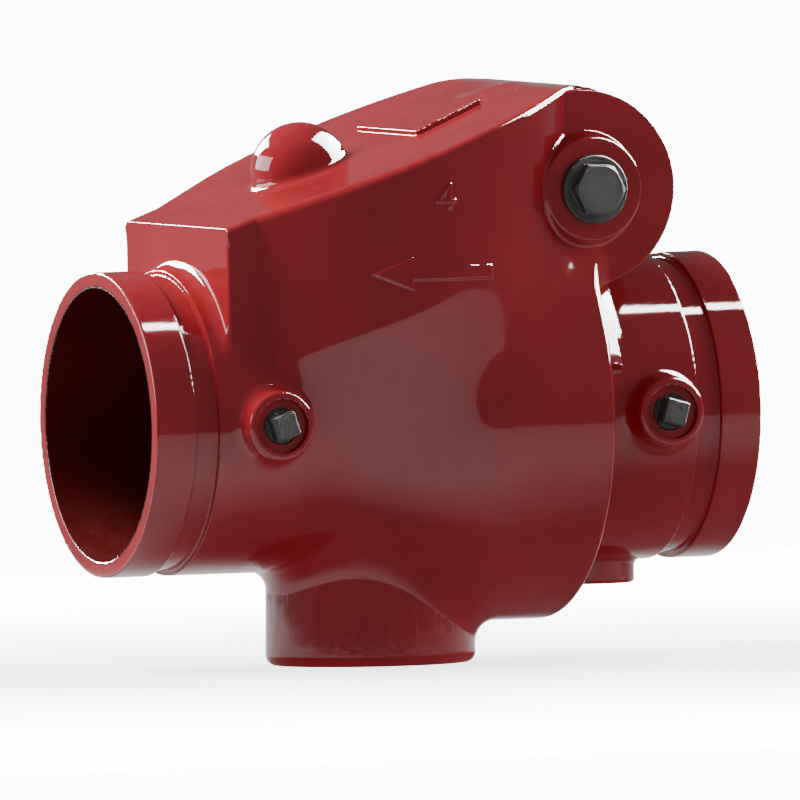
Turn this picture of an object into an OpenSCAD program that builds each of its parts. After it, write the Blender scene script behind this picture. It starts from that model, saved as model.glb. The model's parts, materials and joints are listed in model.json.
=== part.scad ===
// Swing non-return valve for a pipe with grooved ends.
// The origin is the centre of the outlet end face. X runs along the pipe
// towards the inlet, Z is up, and the flow runs towards -X.
// All sizes are in millimetres and all angles in degrees.

/* [Pipe ends] */
// Outside diameter of both pipe ends
pipe_od = 114.3; // [110:0.1:118]
// Length between the two end faces
face_to_face = 244.5; // [240:0.5:260]
// Diameter of the waterway
bore_d = 102.6; // [96:0.1:104]
// Length of the gasket seat in front of each groove
seat_land = 15.9; // [14:0.1:17]
// Width of the coupling groove
groove_w = 9.5; // [8:0.1:10.5]
// Depth of the coupling groove
groove_depth = 2.1; // [1.5:0.1:2.5]

/* [Clapper chamber] */
// Thickness of the cast wall
wall = 6.5; // [5.5:0.1:7]
// Outer radius of the chamber at the seat end
rim_r = 78; // [77:0.5:82]
// Distance of the rim's inlet side from the outlet end face
rim_x = 177.4; // [177:0.1:180]
// Where the outlet neck starts to swell into the chamber
swell_start = 74; // [68:1:80]
// Where the chamber reaches its full radius
swell_end = 144; // [138:1:148]
// Radius on the rim's outer edge
rim_edge_r = 3; // [2:0.5:5]
// Radius of the fillet between the rim and the inlet neck
rim_fillet_r = 5; // [2:0.5:6]

/* [Roof chamber] */
// Distance of its flat end from the outlet end face
roof_x0 = 33; // [31:0.1:34]
// Half the width of the roof chamber at its flat end
roof_half_w = 49.8; // [46:0.1:54]
// Length of the roof chamber's straight sides beside its flat end
roof_side_l = 12; // [8:0.5:14]
// Radius of the roof chamber's round part, seen from above
roof_round_r = 79.5; // [78:0.5:82]
// Centre of that round part, from the outlet end face
roof_round_x = 113; // [110:0.5:115]
// Height of the roof at its flat end, above the pipe's axis
roof_low_z = 73.8; // [73:0.1:75]
// Slope of the roof, which runs tangent into the hinge housing's crown
roof_angle = 20; // [19:0.1:20.5]
// Height of the roof chamber's lower crease at its flat end
crease_z = 15.3; // [12:0.1:18]
// Slope of that crease
crease_angle = 21; // [18:0.5:22]

/* [Roof pad] */
// Distance of the raised pad on the roof from the outlet end face
pad_x = 119.3; // [118:0.1:121]
// Length of that pad along the roof
pad_l = 31.5; // [28:0.5:33]
// Half its width at the outlet end
pad_half_w = 29; // [27:0.5:30]
// Half its width at the inlet end
pad_end_half_w = 21; // [19:0.5:23]
// How far it stands out of the roof
pad_h = 1.8; // [1:0.1:2.5]

/* [Hinge] */
// Distance of the hinge axis from the outlet end face
hinge_x = 174; // [173:0.1:175]
// Height of the hinge axis above the pipe's axis
hinge_z = 84.4; // [84:0.1:85]
// Diameter of the hinge pin
pin_d = 12.7; // [10:0.1:14]
// Radius of the hinge housing
lobe_r = 36.9; // [36.5:0.1:38]
// Width of the hinge housing
lobe_w = 115; // [112:1:118]
// Width of the higher crown in the middle of the hinge housing
crown_w = 84; // [80:1:90]
// Radius of the round boss on each side of the hinge housing, at its foot
hinge_boss_r = 21.4; // [20.5:0.1:24]
// Radius of that boss at its face
hinge_boss_face_r = 19.4; // [18.5:0.1:20]
// How far that boss stands out of the housing
hinge_boss_h = 10.3; // [9:0.1:12]
// Radius of the room inside the hinge housing
pocket_r = 30.4; // [29:0.1:31]
// Gap between the two inner bosses that hold the bushes
hinge_gap = 62; // [60:1:64]
// Radius of those inner bosses
inner_boss_r = 14.5; // [13:0.5:16]
// Outside diameter of the pin's bushes
bush_d = 17; // [16:0.1:18]
// Length of those bushes
bush_l = 24; // [20:0.5:26]
// Thickness of each thrust washer beside the arm
thrust_t = 1.5; // [1:0.1:2]

/* [Clapper] */
// Distance of the seat's face from the outlet end face
seat_x = 168; // [167.5:0.1:168.5]
// How far the clapper swings open
open_angle = 68; // [60:1:69]
// Radius of the clapper
clapper_r = 55.5; // [55.2:0.1:56]
// Thickness of the clapper's plate
plate_t = 5; // [4.5:0.1:5.2]
// Thickness of the rubber facing
facing_t = 5; // [4.5:0.1:5.2]
// Radius of the facing's hole
facing_hole_r = 38; // [30:0.5:42]
// Radius of the plate that clamps the facing
retainer_r = 46; // [44:0.5:48]
// Thickness of the plate that clamps the facing
retainer_t = 3; // [2:0.5:4]
// Thickness of the arm behind the clapper
arm_t = 10; // [8:0.5:10.2]
// Radius of the arm's hub round the clapper bolt
hub_r = 16; // [14:0.5:17]
// Outer radius of the arm's two hinge eyes
eye_r = 13; // [11:0.5:14]
// Length of each hinge eye along the pin
eye_w = 11; // [9:0.5:12]
// Diameter of the clapper bolt
bolt_d = 10; // [8:0.5:11]
// Width across the flats of the bolt's head and nut
bolt_af = 16; // [15:0.5:16.5]
// Thickness of the clapper's nut
nut_t = 8; // [6:0.5:8.5]

/* [Seat ring] */
// Outer radius of the seat ring
seat_ring_r = 57.5; // [57:0.1:58]
// Length of the seat ring
seat_ring_l = 7; // [6:0.5:7.5]
// Width of the raised lip that the facing shuts against
seat_lip_w = 2; // [1.4:0.1:2.2]

/* [Closing spring] */
// Diameter of the spring wire
wire_d = 2.6; // [2:0.1:3]
// Radius of the coil, to the middle of the wire
coil_r = 9.5; // [9:0.1:11]
// Number of full turns in the coil
coil_turns = 6; // [4:1:7]

/* [Roof dome] */
// Radius of the dome that clears the nut when the clapper is open
dome_r = 18.5; // [18:0.1:21]
// Thickness of the dome's wall
dome_wall = 3.4; // [3:0.1:3.8]
// How far the dome stands towards the inlet from the open nut's axis
dome_shift = 3.1; // [2:0.1:4]

/* [Ports] */
// Radius of the round boss under the chamber
drain_boss_r = 39.1; // [36:0.1:42]
// Distance of the drain boss from the outlet end face
drain_x = 108.2; // [106:0.1:112]
// Distance of the drain boss's face from the pipe's axis
drain_drop = 92.6; // [90:0.1:96]
// Radius of the tapped hole in the drain boss
drain_tap_r = 28.5; // [26:0.1:29]
// Depth of the tapped hole in the drain boss
drain_tap_depth = 25; // [18:0.5:26]
// Radius on the drain boss's lower edge
drain_edge_r = 4; // [2:0.5:5]
// Distance of the outlet gauge port from the outlet end face
gauge_out_x = 47; // [45:0.5:49]
// Distance of the inlet gauge port from the inlet end face
gauge_in_x = 39.9; // [39:0.1:44]
// Radius of the gauge bosses
gauge_boss_r = 13.3; // [12:0.1:14]
// Distance of the gauge bosses' faces from the pipe's axis
gauge_reach = 67; // [64:0.5:69]
// Diameter of the gauge plugs' threads
gauge_plug_d = 13.7; // [12:0.1:14.5]
// Width of the gauge plugs' square heads
gauge_square = 9.5; // [8:0.1:10]
// Radius of the blind boss under the inlet neck
blind_boss_r = 16.4; // [15:0.1:18]
// Distance of the blind boss from the outlet end face
blind_x = 197.7; // [197:0.1:200]
// Distance of the blind boss's face from the pipe's axis
blind_drop = 65.5; // [63:0.5:68]

/* [Hinge plugs] */
// Diameter of the hinge plugs' threads
plug_d = 19; // [18:0.1:19.6]
// Diameter of the hinge plugs' round flanges
plug_flange_d = 25.8; // [24:0.1:28]
// Thickness of those flanges
plug_flange_t = 2.5; // [2:0.1:4]
// Width across the flats of the hinge plugs' heads
plug_af = 18; // [17:0.5:22]
// Height of the hinge plugs' heads
plug_hex_h = 4.6; // [4:0.1:8]

/* [Hidden] */
$fa = 4;
$fs = 0.5;

near = -1;
far = 1;
over = 1;
fit = 0.03;
run_fit = 0.05;
run_gap = 0.3;
seat_gap = 0.05;

pipe_r = pipe_od / 2;
bore_r = bore_d / 2;

roof_high_z = roof_low_z + (hinge_x - roof_x0) * tan(roof_angle);
crown_r = (roof_high_z - hinge_z) * cos(roof_angle);

lobe_half = lobe_w / 2;
pocket_half = lobe_half - wall;
boss_face_y = lobe_half + hinge_boss_h;
bush_lip = 1.5;
bush_y0 = hinge_gap / 2 - bush_lip;
bush_y1 = bush_y0 + bush_l;
eye_y1 = bush_y0 - thrust_t - 2 * run_gap;
eye_y0 = eye_y1 - eye_w;
thrust_r = eye_r - 1;
seal_t = 1.8;
plug_turn = 4;
seal_lip = 1.2;
seal_r = plug_flange_d / 2 - seal_lip;
pin_end_y = bush_y1 - run_gap;
plug_tip_y = bush_y1 + run_gap;

plate_front = seat_x - facing_t;
plate_back = plate_front - plate_t;
facing_stand = 2;
clapper_lip = 1.6;
facing_r = clapper_r - clapper_lip;
arm_front = plate_back - seat_gap;
arm_back = plate_back - arm_t;
arm_knee_z = hinge_z - 30;
arm_bar_z = 26;
hub_stand = 0.8;
hub_h = arm_t + hub_stand;
hub_back = plate_back - hub_h;
washer_t = 1.5;
nut_front = hub_back - washer_t;
bolt_end = nut_front - nut_t - 2;
retainer_front = seat_x + retainer_t;
retainer_bevel = 1;
bolt_seal_t = 2;
bolt_seal_r = bolt_af / 2 + 2;
nut_washer_r = bolt_af / 2 + 1;
bolt_head_t = 6.5;
head_back = retainer_front + bolt_seal_t;

chamber_back = seat_x + 1.5;
seat_lip_h = 1;
seat_lip_play = 0.4;

gauge_in = face_to_face - gauge_in_x;
gauge_face_w = 3.3;
gauge_dish_r = gauge_boss_r - gauge_face_w;
gauge_dish = 2;
gauge_edge_r = 2;
blind_edge_r = 1.5;
drain_step = 3;

// The clapper bolt's axis, opened fully, cuts the roof at dome_x, dome_z.
function swing(x, z, a) = [
    hinge_x + (x - hinge_x) * cos(a) + (z - hinge_z) * sin(a),
    hinge_z - (x - hinge_x) * sin(a) + (z - hinge_z) * cos(a)
];
function roof_z(x) = roof_low_z + (x - roof_x0) * tan(roof_angle);
bolt_open = swing(seat_x, 0, open_angle);
bolt_rise = (roof_z(bolt_open[0]) - bolt_open[1]) / (sin(open_angle) + cos(open_angle) * tan(roof_angle));
dome_x = bolt_open[0] - bolt_rise * cos(open_angle) + dome_shift;
dome_z = roof_z(dome_x);

// Radius of the swelling chamber at x, before the wall is taken off.
function swell(x) =
    pipe_r + (rim_r - pipe_r) * (1 - cos(180 * (x - swell_start) / (swell_end - swell_start))) / 2;

swell_steps = 12;
swell_stops = [for (i = [1:swell_steps]) swell_start + i * (swell_end - swell_start) / swell_steps];

red = [0.55, 0.13, 0.14];
steel = [0.72, 0.73, 0.74];
bronze = [0.68, 0.50, 0.28];
rubber = [0.10, 0.10, 0.11];
black = [0.16, 0.15, 0.15];

// Turns a shape drawn along Z so that it runs along X.
module along_x(x = 0) {
    translate([x, 0, 0]) rotate([0, 90, 0]) children();
}

// Turns a shape drawn along Z so that it runs outwards along Y on one side.
module on_side(side, x, z, y = 0) {
    translate([x, side * y, z]) rotate([-side * 90, 0, 0]) children();
}

// A ring or disc along Z.
module ring(outer_r, inner_r, h) {
    difference() {
        cylinder(r = outer_r, h = h);
        translate([0, 0, -over]) cylinder(r = inner_r, h = h + 2 * over);
    }
}

// A round boss along Z whose outer edge is rounded.
module round_boss(r, h, edge) {
    rotate_extrude() union() {
        square([r - edge, h]);
        square([r, h - edge]);
        translate([r - edge, h - edge]) circle(r = edge);
    }
}

// The boss round each end of the hinge bore, tapered, with a fillet at its foot.
module hinge_boss() {
    edge = 1.2;
    foot = 2.5;
    foot_h = 1.5;
    h = boss_face_y - pocket_half;
    rotate_extrude() difference() {
        union() {
            polygon([
                [0, 0], [hinge_boss_r + foot, 0], [hinge_boss_r + foot, wall + foot_h],
                [hinge_boss_r, wall + foot_h], [hinge_boss_face_r, h - edge],
                [hinge_boss_face_r - edge, h], [0, h]
            ]);
            translate([hinge_boss_face_r - edge, h - edge]) circle(r = edge);
        }
        translate([hinge_boss_r + foot, wall + foot]) circle(r = foot);
    }
}

// A hexagonal bar along Z with its end corners turned off.
module hex_head(af, h, corner_cut = 0.6) {
    corner_r = af / 2 / cos(30);
    intersection() {
        cylinder(r = corner_r, h = h, $fn = 6);
        union() {
            cylinder(r = corner_r, h = h - corner_cut);
            translate([0, 0, h - corner_cut])
                cylinder(r1 = corner_r, r2 = af / 2 + 0.2, h = corner_cut);
        }
    }
}

// Half section of the casting without its roof, as radius against x.
module waterway_section() {
    polygon(concat(
        [[0, 0], [0, pipe_r], [swell_start, pipe_r]],
        [for (x = swell_stops) [x, swell(x)]],
        [[rim_x - rim_edge_r, rim_r], [rim_x - rim_edge_r, pipe_r]],
        [[face_to_face, pipe_r], [face_to_face, 0]]
    ));
    translate([swell_end, 0]) square([rim_x - swell_end, rim_r - rim_edge_r]);
    translate([rim_x - rim_edge_r, rim_r - rim_edge_r]) circle(r = rim_edge_r);
    translate([rim_x - over, 0]) difference() {
        square([rim_fillet_r + over, pipe_r + rim_fillet_r]);
        translate([rim_fillet_r + over, pipe_r + rim_fillet_r]) circle(r = rim_fillet_r);
    }
}

// Half section of the room inside, as radius against x.
module inside_section() {
    polygon(concat(
        [[-over, 0], [-over, bore_r], [swell_start, bore_r]],
        [for (x = swell_stops) [x, inner_swell(x)]],
        [[chamber_back, rim_r - wall], [chamber_back, bore_r]],
        [[face_to_face + over, bore_r], [face_to_face + over, 0]]
    ));
}

function inner_swell(x) =
    bore_r + (rim_r - wall - bore_r) * (swell(x) - pipe_r) / (rim_r - pipe_r);

// Turns a section drawn as radius against x about the pipe's axis.
module about_pipe() {
    along_x() rotate_extrude() mirror([1, 0]) rotate(90) children();
}

// Outline of the roof chamber from above, drawn smaller by inset: short
// straight sides, then a line on each side that runs almost tangent into the
// round. The round is met run_in inside it, so that both cross cleanly.
module roof_plan(inset) {
    half = roof_half_w - inset;
    knee = roof_x0 + roof_side_l;
    back = roof_round_x - knee;
    run_in = 0.1;
    lean = 180 - atan2(half, back) - acos((roof_round_r - inset - run_in) / norm([back, half]));
    touch = (roof_round_r - inset - run_in) * [cos(lean), sin(lean)] + [roof_round_x, 0];
    intersection() {
        union() {
            polygon([
                [roof_x0 + inset, -half], [knee, -half], [touch[0], -touch[1]],
                [touch[0], touch[1]], [knee, half], [roof_x0 + inset, half]
            ]);
            translate([roof_round_x, 0]) circle(r = roof_round_r - inset);
        }
        translate([roof_x0 + inset, -roof_round_r])
            square([hinge_x - roof_x0 - 2 * inset, 2 * roof_round_r]);
    }
}

// Everything above a plane that starts at height z over roof_x0.
module above(z, angle) {
    reach = 2 * roof_round_r;
    translate([roof_x0, 0, z]) rotate([0, -angle, 0])
        translate([-reach, -reach, 0]) cube([3 * reach, 2 * reach, reach]);
}

// The upright part of the roof chamber, between its crease and its roof. Where
// the roof has run tangent into the crown, it follows the crown's round.
module roof_walls(inset) {
    turn_x = hinge_x - (crown_r - inset) * sin(roof_angle);
    difference() {
        linear_extrude(height = roof_high_z) roof_plan(inset);
        above(roof_low_z - inset / cos(roof_angle), roof_angle);
        below(crease_z, crease_angle);
        difference() {
            translate([turn_x, -lobe_w, hinge_z]) cube([lobe_w, 2 * lobe_w, lobe_w]);
            on_side(far, hinge_x, hinge_z, -lobe_w) cylinder(r = crown_r - inset, h = 2 * lobe_w);
        }
    }
}

// Everything below a plane that starts at height z over roof_x0.
module below(z, angle) {
    reach = 2 * roof_round_r;
    translate([roof_x0, 0, z]) rotate([0, -angle, 0])
        translate([-reach, -reach, -reach]) cube([3 * reach, 2 * reach, reach]);
}

// The funnel that leads from the crease down to the round waterway. It starts
// just inside the walls and a little above the crease, and ends inside the rim.
module roof_funnel(inset) {
    skin = 0.4;
    slab = 2;
    lift = 0.5;
    sunk = 3.4;
    $fn = 72;
    hull() {
        difference() {
            linear_extrude(height = roof_high_z) roof_plan(inset + skin);
            above(crease_z + slab, crease_angle);
            below(crease_z + lift, crease_angle);
        }
        along_x(swell_start + sunk)
            cylinder(r1 = pipe_r - sunk - inset, r2 = rim_r - sunk - inset, h = swell_end - swell_start);
        along_x(swell_end) cylinder(r = rim_r - sunk - inset, h = rim_x - 2 * rim_edge_r - swell_end);
    }
}

// Everything solid of the casting, before anything is hollowed out.
module body_solid() {
    about_pipe() waterway_section();
    roof_walls(0);
    roof_funnel(0);
    roof_pad();
    translate([dome_x, 0, dome_z]) sphere(r = dome_r);
    translate([dome_x, 0, dome_z]) rotate([0, -roof_angle, 0]) dome_fillet();
    on_side(far, hinge_x, hinge_z, -lobe_half) cylinder(r = lobe_r, h = lobe_w);
    on_side(far, hinge_x, hinge_z, -crown_w / 2) cylinder(r = crown_r, h = crown_w);
    for (side = [near, far])
        on_side(side, hinge_x, hinge_z, pocket_half) hinge_boss();
    on_side(near, gauge_out_x, 0, bore_r) round_boss(gauge_boss_r, gauge_reach - bore_r, gauge_edge_r);
    on_side(near, gauge_in, 0, bore_r) round_boss(gauge_boss_r, gauge_reach - bore_r, gauge_edge_r);
    translate([drain_x, 0, -bore_r]) rotate([180, 0, 0])
        round_boss(drain_boss_r, drain_drop - bore_r, drain_edge_r);
    translate([blind_x, 0, -bore_r]) rotate([180, 0, 0])
        round_boss(blind_boss_r, blind_drop - bore_r, blind_edge_r);
}

// The raised pad on the roof, which gets narrower towards the hinge housing.
module roof_pad() {
    translate([pad_x, 0, roof_z(pad_x)]) rotate([0, -roof_angle, 0])
        translate([0, 0, -over]) linear_extrude(height = pad_h + over) polygon([
            [0, -pad_half_w], [pad_l, -pad_end_half_w], [pad_l, pad_end_half_w], [0, pad_half_w]
        ]);
}

// Concave fillet round the foot of the dome, lying on the roof.
module dome_fillet() {
    f = 3;
    foot_r = sqrt((dome_r + f) * (dome_r + f) - f * f);
    rotate_extrude() difference() {
        square([foot_r, f * dome_r / (dome_r + f)]);
        translate([foot_r, f]) circle(r = f);
    }
}

// The room inside the casting and every hole into it.
module body_hollow() {
    about_pipe() inside_section();
    difference() {
        union() {
            roof_walls(wall);
            roof_funnel(wall);
        }
        translate([chamber_back, -rim_r, -rim_r]) cube([rim_r, 2 * rim_r, 3 * rim_r]);
    }
    translate([dome_x, 0, dome_z]) sphere(r = dome_r - dome_wall);
    hinge_room();
    along_x(seat_x) cylinder(r = seat_ring_r + fit, h = seat_ring_l);
    for (side = [near, far])
        on_side(side, hinge_x, hinge_z) {
            translate([0, 0, bush_y0]) cylinder(r = bush_d / 2 + fit, h = bush_l);
            translate([0, 0, bush_y1]) cylinder(r = plug_d / 2 + fit, h = boss_face_y);
            translate([0, 0, boss_face_y - seal_t]) cylinder(r = seal_r + fit, h = seal_t + over);
        }
    for (x = [gauge_out_x, gauge_in])
        on_side(near, x, 0) {
            translate([0, 0, bore_r - over]) cylinder(r = gauge_plug_d / 2 + fit, h = gauge_reach);
            translate([0, 0, gauge_reach - gauge_dish]) cylinder(r = gauge_dish_r, h = gauge_dish + over);
        }
    translate([drain_x, 0, -drain_drop - over]) cylinder(r = drain_tap_r, h = drain_tap_depth + over);
    translate([drain_x, 0, -drain_drop])
        cylinder(r = drain_tap_r - drain_step, h = drain_drop - bore_r + wall);
}

// The room round the arm's eyes, with the two inner bosses left standing.
module hinge_room() {
    floor_z = seat_ring_r + wall;
    difference() {
        on_side(far, hinge_x, hinge_z, -pocket_half) cylinder(r = pocket_r, h = 2 * pocket_half);
        translate([chamber_back, -lobe_half, 0]) cube([lobe_w, lobe_w, floor_z]);
        for (side = [near, far])
            on_side(side, hinge_x, hinge_z, hinge_gap / 2) cylinder(r = inner_boss_r, h = pocket_half);
    }
}

module grooves() {
    for (x = [seat_land, face_to_face - seat_land - groove_w])
        along_x(x) ring(pipe_r + over, pipe_r - groove_depth, groove_w);
}

module valve_body() {
    color(red) difference() {
        body_solid();
        body_hollow();
        grooves();
    }
}

module seat_ring() {
    lip_r = bore_r + seat_lip_play;
    color(bronze) difference() {
        union() {
            along_x(seat_x + seat_lip_h) cylinder(r = seat_ring_r, h = seat_ring_l - seat_lip_h);
            along_x(seat_x) cylinder(r = lip_r + seat_lip_w, h = seat_lip_h + over);
        }
        along_x(seat_x - over) cylinder(r = bore_r, h = seat_ring_l + 2 * over);
        along_x(seat_x - over) cylinder(r = lip_r, h = over + seat_lip_h);
    }
}

module clapper() {
    color(steel) difference() {
        union() {
            along_x(plate_back) cylinder(r1 = clapper_r - plate_t, r2 = clapper_r, h = plate_t);
            along_x(plate_front) ring(clapper_r, facing_r + fit, facing_t - facing_stand);
        }
        along_x(plate_back - over) cylinder(r = bolt_d / 2 + fit, h = plate_t + 2 * over);
    }
}

module clapper_facing() {
    color(rubber) along_x(plate_front) ring(facing_r, facing_hole_r + fit, facing_t);
}

module facing_retainer() {
    color(steel) difference() {
        union() {
            along_x(plate_front) cylinder(r = facing_hole_r, h = facing_t);
            along_x(seat_x) cylinder(r1 = retainer_r, r2 = retainer_r - retainer_bevel, h = retainer_t);
        }
        along_x(plate_front - over) cylinder(r = bolt_d / 2 + fit, h = facing_t + retainer_t + 2 * over);
    }
}

module clapper_bolt() {
    color(steel) {
        along_x(head_back) hex_head(bolt_af, bolt_head_t);
        along_x(bolt_end) cylinder(r = bolt_d / 2, h = head_back - bolt_end);
    }
}

module bolt_seal() {
    color(rubber) along_x(retainer_front) ring(bolt_seal_r, bolt_d / 2 + fit, bolt_seal_t);
}

module nut_washer() {
    color(steel) along_x(nut_front) ring(nut_washer_r, bolt_d / 2 + fit, washer_t);
}

module clapper_nut() {
    color(steel) difference() {
        along_x(nut_front) mirror([0, 0, 1]) hex_head(bolt_af, nut_t);
        along_x(nut_front - nut_t - over) cylinder(r = bolt_d / 2 + fit, h = nut_t + 2 * over);
    }
}

// Side view of one cheek of the arm, from the hinge eye to the clapper's back.
module cheek_plan() {
    lean = 33;
    knee = 4;
    polygon([
        [hinge_x - eye_r * cos(lean), hinge_z + eye_r * sin(lean)],
        [hinge_x, hinge_z - eye_r],
        [arm_front, arm_knee_z],
        [arm_front, arm_bar_z],
        [arm_back, arm_bar_z],
        [arm_back, arm_knee_z + knee]
    ]);
}

module clapper_arm() {
    bar_drop = 6;
    color(steel) difference() {
        union() {
            for (side = [near, far]) {
                on_side(side, hinge_x, hinge_z, eye_y0) cylinder(r = eye_r, h = eye_w);
                translate([0, side * (eye_y0 + eye_w / 2), 0]) rotate([90, 0, 0])
                    translate([0, 0, -eye_w / 2]) linear_extrude(height = eye_w) cheek_plan();
            }
            translate([arm_back, -eye_y0, arm_bar_z])
                cube([arm_front - arm_back, 2 * eye_y0, arm_knee_z - arm_bar_z - bar_drop]);
            translate([arm_back, -eye_y0 / 2, 0])
                cube([arm_front - arm_back, eye_y0, arm_bar_z + over]);
            along_x(hub_back) cylinder(r = hub_r, h = arm_front - hub_back);
        }
        on_side(far, hinge_x, hinge_z, -lobe_half) cylinder(r = pin_d / 2 + run_fit, h = lobe_w);
        along_x(hub_back - over) cylinder(r = bolt_d / 2 + fit, h = hub_h + 2 * over);
    }
}

module hinge_pin() {
    color(steel) on_side(far, hinge_x, hinge_z, -pin_end_y) cylinder(r = pin_d / 2, h = 2 * pin_end_y);
}

module hinge_bush(side) {
    color(bronze) on_side(side, hinge_x, hinge_z, bush_y0) ring(bush_d / 2, pin_d / 2 + run_fit, bush_l);
}

module thrust_washer(side) {
    color(bronze) on_side(side, hinge_x, hinge_z, bush_y0 - thrust_t)
        ring(thrust_r, pin_d / 2 + run_fit, thrust_t);
}

// Points along the middle of the spring wire: a leg that bears on the hinge
// housing, the coil round the pin, and a leg that lies behind the arm.
coil_steps = 20;
coil_half = eye_y0 - run_gap - wire_d;
push_x = arm_back - wire_d / 2 - run_gap;
push_z = 36;
bend_z = hinge_z - 26;
bend_h = 6;
spring_start = -40;
spring_end = 140;
spring_sweep = 360 * coil_turns + spring_end - spring_start;
stay_reach = sqrt(pow(pocket_r - wire_d / 2 - run_gap, 2) - pow(coil_r, 2));

function coil_point(a, t) = [
    hinge_x + coil_r * cos(a),
    -coil_half + 2 * coil_half * t,
    hinge_z + coil_r * sin(a)
];
stay_end = [
    hinge_x + coil_r * cos(spring_start) + stay_reach * cos(spring_start + 90),
    -coil_half,
    hinge_z + coil_r * sin(spring_start) + stay_reach * sin(spring_start + 90)
];
spring_path = concat(
    [stay_end],
    [for (i = [0:coil_steps * (coil_turns + 0.5)])
        let (t = i / (coil_steps * (coil_turns + 0.5)))
        coil_point(spring_start + t * spring_sweep, t)],
    [[push_x - 1, coil_half, bend_z], [push_x, coil_half, bend_z - bend_h], [push_x, coil_half, push_z]]
);

// A round wire along a list of points, as one closed skin.
module wire(path, d, sides = 8) {
    last = len(path) - 1;
    unit = function (v) v / norm(v);
    skin = [
        for (i = [0:last])
            let (
                ahead = unit(path[min(i + 1, last)] - path[max(i - 1, 0)]),
                side_way = unit(cross(ahead, [0, 1, 0.001])),
                up_way = cross(side_way, ahead)
            )
            for (k = [0:sides - 1])
                path[i] + d / 2 * (cos(360 * k / sides) * side_way + sin(360 * k / sides) * up_way)
    ];
    walls = [
        for (i = [0:last - 1])
            for (k = [0:sides - 1])
                let (next = (k + 1) % sides)
                [i * sides + k, i * sides + next, (i + 1) * sides + next, (i + 1) * sides + k]
    ];
    cap = [for (k = [0:sides - 1]) sides - 1 - k];
    end_cap = [for (k = [0:sides - 1]) last * sides + k];
    polyhedron(points = skin, faces = concat([cap], walls, [end_cap]), convexity = 10);
}

module closing_spring() {
    color(steel) wire(spring_path, wire_d);
}

module hinge_plug(side) {
    color(black) on_side(side, hinge_x, hinge_z) {
        translate([0, 0, plug_tip_y]) cylinder(r = plug_d / 2, h = boss_face_y - plug_tip_y);
        translate([0, 0, boss_face_y]) cylinder(r = plug_flange_d / 2, h = plug_flange_t);
        translate([0, 0, boss_face_y + plug_flange_t]) rotate(side * plug_turn)
            hex_head(plug_af, plug_hex_h);
    }
}

module plug_seal(side) {
    color(rubber) on_side(side, hinge_x, hinge_z, boss_face_y - seal_t)
        ring(seal_r, plug_d / 2 + fit, seal_t);
}

module gauge_plug(x, turn) {
    thread_l = gauge_reach - gauge_dish - bore_r - over;
    head_stand = 4;
    color(black) on_side(near, x, 0) {
        translate([0, 0, bore_r + over]) cylinder(r = gauge_plug_d / 2, h = thread_l);
        translate([0, 0, gauge_reach - gauge_dish]) rotate(turn)
            translate([-gauge_square / 2, -gauge_square / 2, 0])
            cube([gauge_square, gauge_square, gauge_dish + head_stand]);
    }
}

valve_body();
seat_ring();
clapper();
clapper_facing();
facing_retainer();
clapper_bolt();
bolt_seal();
nut_washer();
clapper_nut();
clapper_arm();
hinge_pin();
hinge_bush(near);  // hinge_bush_near
hinge_bush(far);  // hinge_bush_far
thrust_washer(near);  // thrust_washer_near
thrust_washer(far);  // thrust_washer_far
closing_spring();
hinge_plug(near);  // hinge_plug_near
hinge_plug(far);  // hinge_plug_far
plug_seal(near);  // plug_seal_near
plug_seal(far);  // plug_seal_far
gauge_plug(gauge_out_x, 18);  // gauge_plug_outlet
gauge_plug(gauge_in, -16);  // gauge_plug_inlet
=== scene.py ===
import json
import math

import bpy
import numpy as np
from mathutils import Matrix, Vector


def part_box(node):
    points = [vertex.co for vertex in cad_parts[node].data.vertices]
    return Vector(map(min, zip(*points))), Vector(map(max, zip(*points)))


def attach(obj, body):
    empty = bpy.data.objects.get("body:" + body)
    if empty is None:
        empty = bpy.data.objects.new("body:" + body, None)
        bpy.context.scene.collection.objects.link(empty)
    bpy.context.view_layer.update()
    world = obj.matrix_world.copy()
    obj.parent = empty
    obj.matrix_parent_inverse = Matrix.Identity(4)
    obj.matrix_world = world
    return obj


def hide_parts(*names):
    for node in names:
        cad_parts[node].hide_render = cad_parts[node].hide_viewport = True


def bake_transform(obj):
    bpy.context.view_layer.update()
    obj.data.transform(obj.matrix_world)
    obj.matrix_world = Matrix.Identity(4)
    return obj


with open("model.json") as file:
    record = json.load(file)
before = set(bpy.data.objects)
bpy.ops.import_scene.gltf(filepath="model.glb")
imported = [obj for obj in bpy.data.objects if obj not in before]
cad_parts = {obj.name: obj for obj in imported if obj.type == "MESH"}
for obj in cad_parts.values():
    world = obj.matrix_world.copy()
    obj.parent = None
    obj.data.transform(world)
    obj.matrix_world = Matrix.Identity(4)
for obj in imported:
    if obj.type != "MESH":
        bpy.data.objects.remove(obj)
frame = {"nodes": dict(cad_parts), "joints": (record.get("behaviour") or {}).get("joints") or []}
for name in ("Cube", "Light", "Camera"):  # what Blender starts with
    if name in bpy.data.objects:
        bpy.data.objects.remove(bpy.data.objects[name])
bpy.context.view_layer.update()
mm = 0.001
hinge = [v * 1000 for v in frame["joints"][0]["pos_m"]]
print("frame loaded, hinge axis at", [round(v, 1) for v in hinge])


# shapes are made from distance fields, in mm and negative inside
def roundMax(a, b, r):  # where two shapes overlap, with a round outer edge
    return np.minimum(-r, np.maximum(a, b)) + np.hypot(np.maximum(a + r, 0), np.maximum(b + r, 0))


def roundMin(a, b, r):  # two shapes together, with a round fillet between them
    return np.maximum(r, np.minimum(a, b)) - np.hypot(np.maximum(r - a, 0), np.maximum(r - b, 0))


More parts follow.
